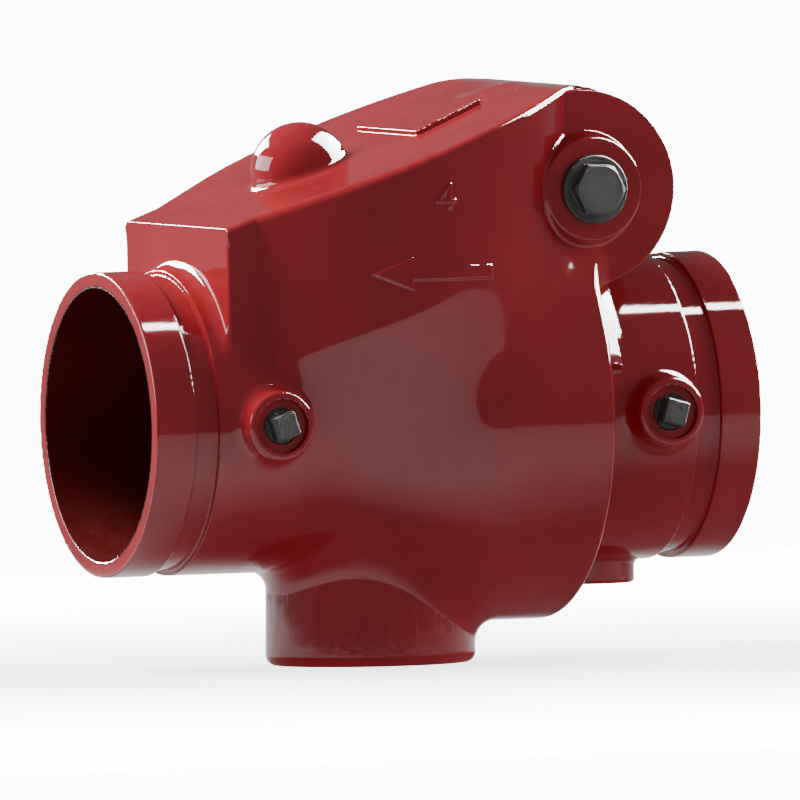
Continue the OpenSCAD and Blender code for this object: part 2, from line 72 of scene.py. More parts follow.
def fillet(a, b, cosine, r):  # a true rolling-ball fillet where two shapes meet at a flat angle
    p, q = a - r, b - r
    near = (p < q * cosine) & (q < p * cosine)
    far = np.sqrt(np.maximum(p * p + q * q - 2 * p * q * cosine, 0) / np.maximum(1 - cosine * cosine, 1e-3))
    return np.where(near, np.minimum(r - far, np.minimum(a, b)), np.minimum(a, b))


def ramp(v, low, high):  # 0 below low, 1 above high, smooth between
    t = np.clip((v - low) / (high - low), 0, 1)
    return t * t * (3 - 2 * t)


def drum(radial, axial, r, low, high, edge):  # a round bar with round edges
    return roundMax(radial - r, np.maximum(low - axial, axial - high), edge)


def segment(u, v, a, b):  # distance from a line between two points in a plane
    du, dv = b[0] - a[0], b[1] - a[1]
    t = np.clip(((u - a[0]) * du + (v - a[1]) * dv) / (du * du + dv * dv), 0, 1)
    return np.hypot(u - a[0] - t * du, v - a[1] - t * dv)


# how fields become meshes
meshing = dict(
    slab=24, probe=0.03, meanPull=0.1, normalProbe=0.06, normalInset=0.3,
    quickStep=1.7, quickShare=3)


def wayOut(field, points, gap):  # which way a field grows, at points
    x, y, z = points.T
    d = field(x, y, z)
    g = np.stack([field(x + gap, y, z) - d, field(x, y + gap, z) - d, field(x, y, z + gap) - d], -1)
    return g / np.maximum(np.linalg.norm(g, axis=1, keepdims=True), 1e-9)


def skinOf(field, low, high, step):  # points and four-sided faces of a field's surface
    m = meshing
    low = np.array(low, float) - 2 * step
    counts = np.ceil((np.array(high) + 2 * step - low) / step).astype(int) + 1
    x, y, z = [low[i] + step * np.arange(counts[i]) for i in range(3)]
    depth = np.empty(counts, np.float32)
    for i in range(0, counts[0], m["slab"]):  # slab by slab, to keep memory small
        rows = slice(i, i + m["slab"])
        depth[rows] = field(x[rows, None, None], y[None, :, None], z[None, None, :])
    inside = depth < 0
    corners = [(i, j, k) for i in (0, 1) for j in (0, 1) for k in (0, 1)]
    shape = tuple(counts - 1)
    same = [inside[tuple(slice(o, o + n) for o, n in zip(corner, shape))] for corner in corners]
    cells = np.zeros(shape, bool)
    for other in same[1:]:
        cells |= other != same[0]
    at = np.argwhere(cells)  # the cells that the surface passes through, one point each
    number = np.full(shape, -1, np.int32)
    number[tuple(at.T)] = np.arange(len(at))
    value = [depth[tuple((at + corner).T)] for corner in corners]
    total, hits = np.zeros((len(at), 3)), np.zeros(len(at))
    planes, pull = np.zeros((len(at), 3, 3)), np.zeros((len(at), 3))
    middle = low + step * (at + 0.5)
    for i, start in enumerate(corners):
        for j, end in enumerate(corners):
            if j <= i or sum(abs(p - q) for p, q in zip(start, end)) != 1:
                continue
            cross = (value[i] < 0) != (value[j] < 0)
            t = value[i][cross] / (value[i][cross] - value[j][cross])
            p = (np.array(start) - 0.5 + t[:, None] * (np.array(end) - np.array(start))) * step
            n = wayOut(field, p + middle[cross], m["probe"])
            total[cross] += p
            hits[cross] += 1
            planes[cross] += n[:, :, None] * n[:, None, :]
            pull[cross] += n * (n * p).sum(1)[:, None]
    mean = total / hits[:, None]
    planes += m["meanPull"] * np.eye(3)
    own = np.linalg.solve(planes, (pull + m["meanPull"] * mean)[:, :, None])[:, :, 0]
    points = middle + np.clip(own, -0.5 * step, 0.5 * step)
    faces = []
    for k in range(3):  # a face for each grid edge that the surface cuts
        p, q = [(1, 2), (2, 0), (0, 1)][k]
        a, b = [slice(None)] * 3, [slice(None)] * 3
        a[k], b[k] = slice(0, -1), slice(1, None)
        here, there = inside[tuple(a)], inside[tuple(b)]
        edges = np.argwhere(here != there)
        within = (edges[:, [p, q]] > 0) & (edges[:, [p, q]] < (shape[p], shape[q]))
        edges = edges[within.all(1)]
        out = here[tuple(edges.T)]
        quad = []
        for dp, dq in ((0, 0), (1, 0), (1, 1), (0, 1)):
            e = edges.copy()
            e[:, p] -= dp
            e[:, q] -= dq
            quad.append(number[tuple(e.T)])
        quad = np.stack(quad, 1)
        faces.append(np.where(out[:, None], quad, quad[:, ::-1]))
    return points, np.concatenate(faces)


def link(name, mesh):
    obj = bpy.data.objects.new(name, mesh)
    bpy.context.scene.collection.objects.link(obj)
    return obj


def carved(name, field, low, high, step, mostFaces):  # a mesh object of a field
    m = meshing
    points, faces = skinOf(field, low, high, step)
    mesh = bpy.data.meshes.new(name)
    mesh.from_pydata((points * mm).tolist(), [], faces.tolist())
    obj = link(name, mesh)
    if 2 * len(faces) > mostFaces:  # flat places need fewer faces
        fewer = obj.modifiers.new("fewer", "DECIMATE")
        fewer.ratio = mostFaces / (2 * len(faces))
        bake(obj)
    mesh = obj.data
    flat = np.empty(len(mesh.vertices) * 3)
    mesh.vertices.foreach_get("co", flat)
    points = np.clip(flat.reshape(-1, 3) / mm, low, high)
    mesh.vertices.foreach_set("co", (points * mm).ravel())
    corner, start = np.empty(len(mesh.loops), int), np.empty(len(mesh.polygons), int)
    mesh.loops.foreach_get("vertex_index", corner)
    mesh.polygons.foreach_get("loop_start", start)
    sides = np.diff(np.append(start, len(corner)))
    middle = np.repeat(np.add.reduceat(points[corner], start) / sides[:, None], sides, axis=0)
    away = middle - points[corner]  # every face corner takes its own side's exact normal
    far = np.linalg.norm(away, axis=1, keepdims=True)
    inset = m["normalInset"]
    near = points[corner] + away * np.minimum(inset, inset / np.maximum(far, 1e-9))
    mesh.shade_smooth()
    mesh.normals_split_custom_set(wayOut(field, near, m["normalProbe"]).tolist())
    mesh.update()
    print(f"{name}: {len(mesh.polygons)} faces")
    return obj


def bake(obj):  # applies an object's modifiers
    deps = bpy.context.evaluated_depsgraph_get()
    done = bpy.data.meshes.new_from_object(obj.evaluated_get(deps))
    old = obj.data
    obj.modifiers.clear()
    obj.data = done
    bpy.data.meshes.remove(old)
    done.name = obj.name


# the casting, one iron piece from end to end, in mm and degrees
castingSize = dict(
    length=244.5, pipe=57.15, bore=51.3, wall=6.5, endEdge=0.7, innerEdge=0.3,
    grooveAt=15.9, grooveWidth=9.5, grooveDepth=2.1, grooveEdge=0.35, grooveFoot=0.4,
    swellStart=74, swellEnd=144, swellLead=4, swellSink=0.3,
    rim=78, rimX=177.4, rimEdge=2.2, rimFillet=5, rimFilletX=(160, 168),
    roofX=33, roofHalf=49.8, roofSide=12, roundR=78.9, roundX=113,
    roofLow=73.8, roofAngle=20, roofEdge=3,
    creaseZ=15.3, creaseAngle=21, creaseSoft=0.8, creaseFade=7, creaseFadeX=(100, 128),
    leanSoft=0.012, leanJoin=30,
    endEdgeR=0.1, cornerR=1.6, cornerZ=(66, 72), endFillet=5, endFilletX=(38, 50),
    shoulderR=50, shoulderLeast=0.01, shoulderX=(122, 142), shoulderZ=(5, 25), shoulderFrom=60,
    crownHalf=42, crownEdge=0.6,
    lobeR=36.9, lobeHalf=57.5, lobeEdge=0.7, lobeFillet=6, lobeFilletZ=(62, 78),
    bossR=21.4, bossFace=19.4, bossY=67.8, bossEdge=0.8, bossFoot=1.8, bossFrom=30,
    pocketR=30.4, innerBoss=14.5, innerBossY=31, floorZ=64, chamberBack=169.5,
    domeR=18.5, domeWall=3.4, domeFoot=3, domeShift=3.1,
    padX=119.3, padL=31.5, padHalf=29, padEnd=21, padH=1.8, padDepth=3,
    padCorner=1, padEdge=0.12, padFoot=0.15,
    gaugeX=(47, 204.6), gaugeR=13.3, gaugeY=67, gaugeFrom=40, gaugeEdge=2, gaugeFoot=4,
    gaugeDish=10, gaugeDishT=2, gaugeHole=6.88, gaugeHoleFrom=50,
    drainX=108.2, drainR=39.1, drainZ=92.6, drainEdge=4, drainFillet=9, drainDraft=0.02,
    drainDraftZ=80, drainHole=28.5, drainDepth=25, drainLedge=3, drainTop=40,
    blindX=197.7, blindR=16.4, blindZ=65.5, blindEdge=1.5, blindFoot=2.5, footFrom=30,
    seatX=168, seatR=57.53, seatL=7, bushHole=8.53, bushFrom=29, bushEnd=53.5,
    plugHole=9.53, sealHole=11.73, sealDepth=1.8,
    reliefH=0.6, arrowZ=55.7, arrowTip=82, arrowNeck=96.5, arrowEnd=128.5,
    arrowHead=6.2, arrowShaft=2.5, arrowLap=1, fourX=(106.6, 111.2, 112.8),
    fourZ=(80, 82.6, 88.5), fourStroke=0.75, markBlur=0.5, step=0.85, faces=190000,
)
c = castingSize
hx, hz = hinge[0], hinge[2]
least = 0.001  # a fillet's radius where it fades away
tilt = math.radians(c["roofAngle"])
roofHigh = c["roofLow"] + (hx - c["roofX"]) * math.tan(tilt)
crownR = (roofHigh - hz) * math.cos(tilt)


def roofZ(x):
    return c["roofLow"] + (x - c["roofX"]) * math.tan(tilt)


def openDome():  # where the nut's axis meets the roof with the clapper open
    a = math.radians(frame["joints"][0]["range_deg"][1])
    px = hx + (c["seatX"] - hx) * math.cos(a) - hz * math.sin(a)
    pz = hz - (c["seatX"] - hx) * math.sin(a) - hz * math.cos(a)
    rise = (roofZ(px) - pz) / (math.sin(a) + math.cos(a) * math.tan(tilt))
    x = px - rise * math.cos(a) + c["domeShift"]
    return x, roofZ(x)


def swell(x, r0, r1):  # the chamber's radius along the pipe
    t = np.clip((x - c["swellStart"]) / (c["swellEnd"] - c["swellStart"]), 0, 1)
    return r0 + (r1 - r0) * (1 - np.cos(np.pi * t)) / 2


def roofHalf(x, inset):  # half the roof chamber's width, seen from above
    knee = c["roofX"] + c["roofSide"]
    half, back, r = c["roofHalf"] - inset, c["roundX"] - knee, c["roundR"] - inset
    lean = math.pi - math.atan2(half, back) - math.acos(r / math.hypot(back, half))
    tx, ty = c["roundX"] + r * math.cos(lean), r * math.sin(lean)
    line = half + (ty - half) * (x - knee) / (tx - knee)
    arc = np.sqrt(np.maximum(r * r - (x - c["roundX"]) ** 2, 1))
    return np.where(x < knee, half, np.where(x < tx, line, arc))


def below(v, soft):  # v where it is negative, and near 0 where it isn't
    return (v - np.sqrt(v * v + soft)) / 2


def chamberSide(x, y, z, rad, inset, r0, r1):  # wall, crease and funnel of one side
    half = roofHalf(x, inset)
    crease = c["creaseZ"] + (x - c["roofX"]) * math.tan(math.radians(c["creaseAngle"]))
    r = swell(x, r0, r1)
    reach = np.hypot(half, crease)
    lean = np.arctan2(crease, half) - np.arccos(np.minimum(1, r / reach))
    lean = below(lean, c["leanSoft"])  # never leans outwards
    soft = c["creaseSoft"] + c["creaseFade"] * ramp(x, *c["creaseFadeX"])
    side = np.abs(y)

    def wallAt(across, up):
        return (across - half + np.tan(lean) * below(up - crease, soft * soft)) * np.cos(lean)

    # the wall meets the round chamber at its tangent point without a step
    gap = wallAt(r * np.cos(lean), r * np.sin(lean))
    along = z * np.cos(lean) - side * np.sin(lean)
    wall = wallAt(side, z) - gap * (1 - ramp(along, 0, c["leanJoin"]))
    return np.where(reach < r, np.maximum(side - half, -z), np.where(along < 0, rad - r, wall))


def roofTop(x, z, inset):  # the sloped roof, tangent into the crown
    along = (x - hx) * math.cos(tilt) + (z - hz) * math.sin(tilt)
    plane = (z - hz) * math.cos(tilt) - (x - hx) * math.sin(tilt)
    return np.where(along > 0, np.hypot(x - hx, z - hz), plane) - crownR + inset


domeX, domeZ = openDome()


def marks(x, z):  # flow arrow and size number, as a height from 0 to 1 on the near wall
    halfHead = c["arrowHead"] * (x - c["arrowTip"]) / (c["arrowNeck"] - c["arrowTip"])
    off = np.abs(z - c["arrowZ"])
    head = np.maximum(off - halfHead, x - c["arrowNeck"])
    ends = np.maximum(c["arrowNeck"] - c["arrowLap"] - x, x - c["arrowEnd"])
    shaft = np.maximum(off - c["arrowShaft"], ends)
    (left, stem, right), (foot, bar, top) = c["fourX"], c["fourZ"]
    strokes = [((stem, foot), (stem, top)), ((stem, top), (left, bar)), ((left, bar), (right, bar))]
    four = np.minimum.reduce([segment(x, z, *stroke) for stroke in strokes]) - c["fourStroke"]
    return ramp(-np.minimum(np.minimum(head, shaft), four), -c["markBlur"], c["markBlur"])


def chamberWithRoof(x, y, z, rad):  # the pipe, the round chamber and the roof chamber
    neck = drum(rad, x, c["pipe"], 0, c["length"], c["endEdge"])
    chamber = roundMax(rad - swell(x, c["pipe"] - c["swellSink"], c["rim"]), x - c["rimX"], c["rimEdge"])
    chamber = np.maximum(chamber, c["swellStart"] - c["swellLead"] - x)
    d = roundMin(neck, chamber, least + c["rimFillet"] * ramp(x, *c["rimFilletX"]))
    side = chamberSide(x, y, z, rad, 0, c["pipe"], c["rim"])
    side = side - c["reliefH"] * marks(x, z) * (y < 0)
    roof = roundMax(side, roofTop(x, z, 0), c["roofEdge"])
    roof = roundMax(roof, c["roofX"] - x, c["endEdgeR"] + c["cornerR"] * (1 - ramp(z, *c["cornerZ"])))
    roof = np.maximum(roof, x - hx)
    turn = roofHalf(x + 0.5, 0) - roofHalf(x - 0.5, 0)
    cosine = np.abs(y) / np.maximum(rad, 1) / np.sqrt(1 + turn * turn)
    shoulder = c["shoulderLeast"] + c["shoulderR"] * ramp(x, *c["shoulderX"]) * ramp(z, *c["shoulderZ"])
    return np.where(x < c["shoulderFrom"],
                    roundMin(d, roof, least + c["endFillet"] * (1 - ramp(x, *c["endFilletX"]))),
                    fillet(d, roof, cosine, shoulder))


def hingeHousing(d, side, z, hub):  # adds the crown, the lobes and the plug bosses
    d = np.minimum(d, drum(hub, side, crownR, -1, c["crownHalf"], c["crownEdge"]))
    lobe = drum(hub, side, c["lobeR"], -1, c["lobeHalf"], c["lobeEdge"])
    d = roundMin(d, lobe, least + c["lobeFillet"] * (1 - ramp(z, *c["lobeFilletZ"])))
    taper = c["bossR"] + (c["bossFace"] - c["bossR"]) * (side - c["lobeHalf"]) / (c["bossY"] - c["lobeHalf"])
    return roundMin(d, drum(hub, side, taper, c["bossFrom"], c["bossY"], c["bossEdge"]), c["bossFoot"])


def raisedPad(x, side, z):  # the blank pad on the roof
    u = (x - c["padX"]) * math.cos(tilt) + (z - roofZ(c["padX"])) * math.sin(tilt)
    w = (z - roofZ(c["padX"])) * math.cos(tilt) - (x - c["padX"]) * math.sin(tilt)
    pad = roundMax(side - c["padHalf"] + (c["padHalf"] - c["padEnd"]) * u / c["padL"],
                   np.maximum(-u, u - c["padL"]), c["padCorner"])
    return roundMax(pad, np.maximum(w - c["padH"], -w - c["padDepth"]), c["padEdge"])


def outside(x, y, z):
    rad, side = np.hypot(y, z), np.abs(y)
    d = hingeHousing(chamberWithRoof(x, y, z, rad), side, z, np.hypot(x - hx, z - hz))
    dome = np.sqrt((x - domeX) ** 2 + y * y + (z - domeZ) ** 2) - c["domeR"]
    d = roundMin(d, dome, c["domeFoot"])
    d = roundMin(d, raisedPad(x, side, z), c["padFoot"])
    for at in c["gaugeX"]:
        boss = drum(np.hypot(x - at, z), -y, c["gaugeR"], c["gaugeFrom"], c["gaugeY"], c["gaugeEdge"])
        d = roundMin(d, boss, c["gaugeFoot"])
    taper = c["drainR"] - c["drainDraft"] * (z + c["drainDraftZ"])
    boss = drum(np.hypot(x - c["drainX"], y), -z, taper, c["footFrom"], c["drainZ"], c["drainEdge"])
    d = roundMin(d, boss, c["drainFillet"])
    boss = drum(np.hypot(x - c["blindX"], y), -z, c["blindR"], c["footFrom"], c["blindZ"], c["blindEdge"])
    d = roundMin(d, boss, c["blindFoot"])
    for at in (c["grooveAt"], c["length"] - c["grooveAt"] - c["grooveWidth"]):
        slot = np.maximum(at - x, x - at - c["grooveWidth"])
        slot = roundMax(slot, c["pipe"] - c["grooveDepth"] - rad, c["grooveFoot"])
        d = roundMax(d, -slot, c["grooveEdge"])
    return d


def bores(x, y, z, hub, side):  # the holes for bushes, plugs, seals, gauges and the drain
    cuts = [(hub - c["bushHole"], c["bushFrom"] - side), (hub - c["plugHole"], c["bushEnd"] - side),
            (hub - c["sealHole"], c["bossY"] - c["sealDepth"] - side)]
    for at in c["gaugeX"]:
        hole = np.hypot(x - at, z)
        cuts.append((hole - c["gaugeHole"], c["gaugeHoleFrom"] + y))
        cuts.append((hole - c["gaugeDish"] - 0.5 * (y + c["gaugeY"]), c["gaugeY"] - c["gaugeDishT"] + y))
    hole = np.hypot(x - c["drainX"], y)
    cuts.append((hole - c["drainHole"], c["drainZ"] - c["drainDepth"] + z))
    cuts.append((hole - c["drainHole"] + c["drainLedge"], z + c["drainTop"]))
    d = 1e9
    for radial, axial in cuts:
        d = np.minimum(d, np.maximum(radial, axial))
    return d


def hollow(x, y, z):
    rad, side, hub = np.hypot(y, z), np.abs(y), np.hypot(x - hx, z - hz)
    inner = c["rim"] - c["wall"]
    roof = np.maximum(chamberSide(x, y, z, rad, c["wall"], c["bore"], inner), roofTop(x, z, c["wall"]))
    roof = np.maximum(roof, c["roofX"] + c["wall"] - x)
    d = np.minimum(roof, rad - swell(x, c["bore"] - c["swellSink"], inner))
    d = np.maximum(d, x - c["chamberBack"])
    d = np.minimum(d, rad - c["bore"])
    pocket = np.maximum(np.maximum(hub - c["pocketR"], side - c["lobeHalf"] + c["wall"]),
                        np.minimum(c["floorZ"] - z, x - c["chamberBack"]))
    pocket = np.maximum(pocket, -np.maximum(hub - c["innerBoss"], c["innerBossY"] - side))
    dome = np.sqrt((x - domeX) ** 2 + y * y + (z - domeZ) ** 2) - c["domeR"] + c["domeWall"]
    seat = np.maximum(rad - c["seatR"], np.maximum(c["seatX"] - x, x - c["seatX"] - c["seatL"]))
    for cut in (pocket, dome, seat, bores(x, y, z, hub, side)):
        d = np.minimum(d, cut)
    return d


def casting(x, y, z):
    return roundMax(outside(x, y, z), -hollow(x, y, z), c["innerEdge"])


# small parts are turned on an axis, or carved from a field
def softCorners(profile, r, steps=3):  # a closed outline with small rounds on its corners
    out, count = [], len(profile)
    for i in range(count):
        p, a, b = Vector(profile[i]), Vector(profile[i - 1]), Vector(profile[(i + 1) % count])
        u, v = (a - p), (b - p)
        cut = min(r, u.length * 0.45, v.length * 0.45)
        start, end = p + u.normalized() * cut, p + v.normalized() * cut
        for k in range(steps + 1):
            t = k / steps
            out.append(start * (1 - t) ** 2 + p * 2 * t * (1 - t) + end * t * t)
    return out


def turned(name, profile, axis, centre, corner, turns=96):  # profile of (radius, place along the axis)
    ring = softCorners(profile, corner)
    count = len(ring)
    points, faces = [], []
    for i in range(turns):
        a = 2 * math.pi * i / turns
        for r, t in ring:
            u, v = r * math.cos(a), r * math.sin(a)
            p = {"x": (t, centre[1] + u, centre[2] + v), "y": (centre[0] + v, t, centre[2] + u)}[axis]
            points.append([q * mm for q in p])
        for k in range(count):
            j, n = (i + 1) % turns, (k + 1) % count
            faces.append((i * count + k, j * count + k, j * count + n, i * count + n))
    mesh = bpy.data.meshes.new(name)
    mesh.from_pydata(points, [], faces)
    if outward(mesh) < 0:
        mesh.flip_normals()
    mesh.shade_smooth()
    mesh.set_sharp_from_angle(angle=math.radians(40))
    return link(name, mesh)


def outward(mesh):  # the closed mesh's volume, below 0 where its faces look inwards
    total = 0
    for f in mesh.polygons:
        p = [mesh.vertices[v].co for v in f.vertices]
        for k in range(1, len(p) - 1):
            total += p[0].dot(p[k].cross(p[k + 1]))
    return total


def hexagon(u, v, across, turn):  # a six-sided bar's field, with its corners turned by an angle
    d = -1e9
    for k in range(3):
        t = math.radians(turn + 30 + 60 * k)
        d = np.maximum(d, np.abs(u * math.cos(t) + v * math.sin(t)) - across / 2)
    return d


def outline(u, v, points):  # a flat polygon's field
    d, sign = 1e9, 1
    for i in range(len(points)):
        a, b = points[i - 1], points[i]
        d = np.minimum(d, segment(u, v, a, b))
        up = (a[1] <= v) & (b[1] > v) & ((b[0] - a[0]) * (v - a[1]) > (u - a[0]) * (b[1] - a[1]))
        down = (a[1] > v) & (b[1] <= v) & ((b[0] - a[0]) * (v - a[1]) < (u - a[0]) * (b[1] - a[1]))
        sign = np.where(up | down, -sign, sign)
    return d * sign


def boxOf(node):  # a CAD node's box in mm
    low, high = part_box(node)
    return [v / mm for v in low], [v / mm for v in high]


pieces = {}


def keep(obj, node, body, slotName):  # puts a piece in place of its CAD node
    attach(obj, body)
    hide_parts(node)
    pieces[node] = obj


widest = c["roundR"] + c["reliefH"]
body = carved("castBody", casting, (0, -widest, -c["drainZ"]), (c["length"], widest, hz + crownR),
              c["step"], c["faces"])
keep(body, "valve_body", "valve", "paint")


def crop(head, r, beyond, across, spare):  # a cone takes the corners off a hexagon's end
    slope, cosine = 1.6, 0.53
    return np.maximum(head, (r - across / 2 + spare + beyond * slope) * cosine)


hingePlugSize = dict(
    shank=9.5, shankEdge=0.6, sink=0.5, flange=12.9, flangeT=2.5, flangeEdge=0.7,
    across=18, head=4.6, headEdge=0.35, headFoot=0.5, crop=0.1, turn=-4,
    step=0.42, faces=26000)


def hingePlug(node, name, side):
    p = hingePlugSize
    low, high = boxOf(node)
    tip, face = min(abs(low[1]), abs(high[1])), c["bossY"]
    top = face + p["flangeT"] + p["head"]

    def field(x, y, z):
        u, v, t = x - hx, z - hz, y * side
        r = np.hypot(u, v)
        shank = drum(r, t, p["shank"], tip, face + p["sink"], p["shankEdge"])
        flange = drum(r, t, p["flange"], face, face + p["flangeT"], p["flangeEdge"])
        head = roundMax(hexagon(u, v, p["across"], p["turn"]), t - top, p["headEdge"])
        head = np.maximum(crop(head, r, t - top, p["across"], p["crop"]), face - t)
        return roundMin(np.minimum(shank, flange), head, p["headFoot"])

    keep(carved(name, field, low, high, p["step"], p["faces"]), node, "valve", "blackened_steel")


gaugePlugSize = dict(
    thread=6.85, pitch=1.4, groove=0.78, threadEdge=0.2, square=9.5, corner=1.0,
    headEdge=0.9, sink=1, headFoot=0.6, step=0.4, faces=18000)


def gaugePlug(node, name, at, turn):
    p = gaugePlugSize
    low, high = boxOf(node)
    seat, top, half = c["gaugeY"] - c["gaugeDishT"], -low[1], p["square"] / 2
    cos, sin = math.cos(math.radians(turn)), math.sin(math.radians(turn))

    def field(x, y, z):
        u, v, t = x - at, z, -y
        wave = np.abs((t / p["pitch"] + np.arctan2(v, u) / (2 * math.pi)) % 1 - 0.5) * p["groove"]
        ends = np.maximum(-high[1] - t, t - seat)
        thread = roundMax(np.hypot(u, v) - p["thread"] + wave, ends, p["threadEdge"])
        square = roundMax(np.abs(u * cos + v * sin) - half, np.abs(v * cos - u * sin) - half, p["corner"])
        head = roundMax(square, np.maximum(t - top, seat - p["sink"] - t), p["headEdge"])
        return roundMin(thread, head, p["headFoot"])

    keep(carved(name, field, low, high, p["step"], p["faces"]), node, "valve", "blackened_steel")


hingePlug("hinge_plug_near", "hingePlugNear", -1)
hingePlug("hinge_plug_far", "hingePlugFar", 1)
gaugePlug("gauge_plug_outlet", "gaugePlugOutlet", c["gaugeX"][0], 18)
gaugePlug("gauge_plug_inlet", "gaugePlugInlet", c["gaugeX"][1], -16)
print("plugs made")

clapperSize = dict(
    r=55.5, plate=5, facing=5, lip=1.6, stand=2, edge=0.8, bevel=1.2,
    retainer=46, retainerT=3, retainerDraft=3, retainerEdge=0.4, facingHole=38,
    bossLap=1, bossEdge=0.1, clear=0.03, bolt=5, boltLap=3, boltEdge=0.6, across=16,
    headT=6.5, headEdge=0.3, crop=-0.1, pitch=1.5, groove=0.9, threadX=(146, 150))
armSize = dict(
    eye=13, eyeIn=16.4, edge=1, pinHole=6.4, thick=10, gap=0.05, kneeDrop=30,
    kneeLift=4, barZ=26, lean=33, hub=16, hubIn=2.5, hubEdge=0.4, hubFoot=0.6,
    stemTaper=0.12, stemLap=3, stemFillet=5, barLap=6, barFillet=6,
    slabEdge=1.3, eyeFoot=1.5, slabFoot=3)
k = clapperSize
plateFront = c["seatX"] - k["facing"]
plateBack = plateFront - k["plate"]
armLow, armHigh = boxOf("clapper_arm")
hubBack = armLow[0]
boltLow, boltHigh = boxOf("clapper_bolt")
nutLow, nutHigh = boxOf("clapper_nut")


def boltHole(r):  # what is outside the bolt's hole, r from its axis
    return k["bolt"] + k["clear"] - r


def clapperPlate(x, y, z):
    r = np.hypot(y, z)
    d = roundMax(r - k["r"], np.maximum(plateBack - x, x - plateFront - k["facing"] + k["stand"]), k["edge"])
    d = roundMax(d, (r - k["r"] + plateFront - x) * 0.707, k["bevel"])  # a cone of 45 degrees
    d = np.maximum(d, -np.maximum(r - k["r"] + k["lip"] - k["clear"], plateFront - x))
    return np.maximum(d, boltHole(r))


def clapperArm(x, y, z):
    p = armSize
    side, r, hub = np.abs(y), np.hypot(x - hx, z - hz), np.hypot(y, z)
    eye, eyeIn, eyeOut = p["eye"], p["eyeIn"], armHigh[1]
    front, back = plateBack - p["gap"], plateBack - p["thick"]
    kneeZ, barZ, lean = hz - p["kneeDrop"], p["barZ"], math.radians(p["lean"])
    cheek = outline(x, z, [(hx - eye * math.cos(lean), hz + eye * math.sin(lean)), (hx, hz - eye),
                           (front, kneeZ), (front, barZ), (back, barZ), (back, kneeZ + p["kneeLift"])])
    cheek = roundMax(cheek, np.abs(side - (eyeIn + eyeOut) / 2) - (eyeOut - eyeIn) / 2, p["edge"])
    stem = np.maximum(side - eyeIn / 2 - p["stemTaper"] * z, np.maximum(-z, z - barZ - p["stemLap"]))
    bar = np.maximum(side - eyeOut, np.maximum(barZ - z, z - kneeZ + p["barLap"]))
    plan = roundMin(roundMin(stem, hub - p["hub"], p["stemFillet"]), bar, p["barFillet"])
    slab = roundMax(plan, np.maximum(back - x, x - front), p["slabEdge"])
    slab = roundMin(slab, drum(hub, x, p["hub"] - p["hubIn"], hubBack, front, p["hubEdge"]), p["hubFoot"])
    d = roundMin(drum(r, side, eye, eyeIn, eyeOut, p["edge"]), cheek, p["eyeFoot"])
    d = roundMin(d, slab, p["slabFoot"])
    for limit in (np.minimum(x - front, kneeZ - z), hubBack - x, p["pinHole"] - r, boltHole(hub)):
        d = np.maximum(d, limit)
    return d


def clapperBolt(x, y, z):
    r, top = np.hypot(y, z), boltHigh[0]
    head = hexagon(y, z, k["across"], 0)
    head = roundMax(head, np.maximum(x - top, top - k["headT"] - x), k["headEdge"])
    wave = np.abs((x / k["pitch"] + np.arctan2(z, y) / (2 * math.pi)) % 1 - 0.5)
    first, last = k["threadX"]
    wave = wave * ramp(-x, -last, -first) * k["groove"]
    ends = np.maximum(boltLow[0] - x, x - top + k["boltLap"])
    shank = roundMax(r - k["bolt"] + wave, ends, k["boltEdge"])
    return np.minimum(crop(head, r, x - top, k["across"], k["crop"]), shank)


def clapperNut(x, y, z):
    r = np.hypot(y, z)
    ends = (nutLow[0] - x, x - nutHigh[0])
    d = roundMax(hexagon(y, z, k["across"], 0), np.maximum(*ends), k["headEdge"])
    for end in ends:
        d = crop(d, r, end, k["across"], k["crop"])
    return np.maximum(d, boltHole(r))


def clapperRetainer(x, y, z):
    r = np.hypot(y, z)
    beyond = x - c["seatX"]
    boss = drum(r, x, k["facingHole"], plateFront, c["seatX"] + k["bossLap"], k["bossEdge"])
    ends = np.maximum(-beyond, beyond - k["retainerT"])
    plate = roundMax(r - k["retainer"] + beyond / k["retainerDraft"], ends, k["retainerEdge"])
    return np.maximum(np.minimum(boss, plate), boltHole(r))


for node, name, field, slotName, step, most in [
        ("clapper", "clapperPlate", clapperPlate, "stainless", 0.7, 30000),
        ("clapper_arm", "clapperArm", clapperArm, "arm_iron", 0.6, 50000),
        ("clapper_bolt", "clapperBolt", clapperBolt, "stainless", 0.3, 24000),
        ("clapper_nut", "clapperNut", clapperNut, "stainless", 0.35, 12000),
        ("facing_retainer", "facingRetainer", clapperRetainer, "stainless", 0.8, 16000)]:
    low, high = boxOf(node)
    keep(carved(name, field, low, high, step, most), node, "clapper_group", slotName)
print("clapper made")


def ringNode(node, name, axis, inner, slotName, bodyName, corner):  # a plain ring from its node's box
    low, high = boxOf(node)
    way = {"x": 0, "y": 1}[axis]
    outer, start, end = (high[2] - low[2]) / 2, low[way], high[way]
    centre = [(a + b) / 2 for a, b in zip(low, high)]
    profile = [(inner, start), (outer, start), (outer, end), (inner, end)]
    keep(turned(name, profile, axis, centre, corner), node, bodyName, slotName)


seatSize = dict(r=57.5, lip=0.4, lipW=2, lipT=1, edge=0.25, turns=160)
pinSize = dict(middle=0.01, r=6.35, end=5.6, bevel=0.8, edge=0.2)


def seatRing():  # a ring with a narrow raised lip that the facing shuts against
    p = seatSize
    low, high = boxOf("seat_ring")
    inner, start, end = c["bore"], low[0], high[0]
    lip, face = inner + p["lip"], start + p["lipT"]
    profile = [(inner, face), (lip, face), (lip, start), (lip + p["lipW"], start), (lip + p["lipW"], face),
               (p["r"], face), (p["r"], end), (inner, end)]
    obj = turned("seatRing", profile, "x", (0, 0, 0), p["edge"], p["turns"])
    keep(obj, "seat_ring", "valve", "bronze")


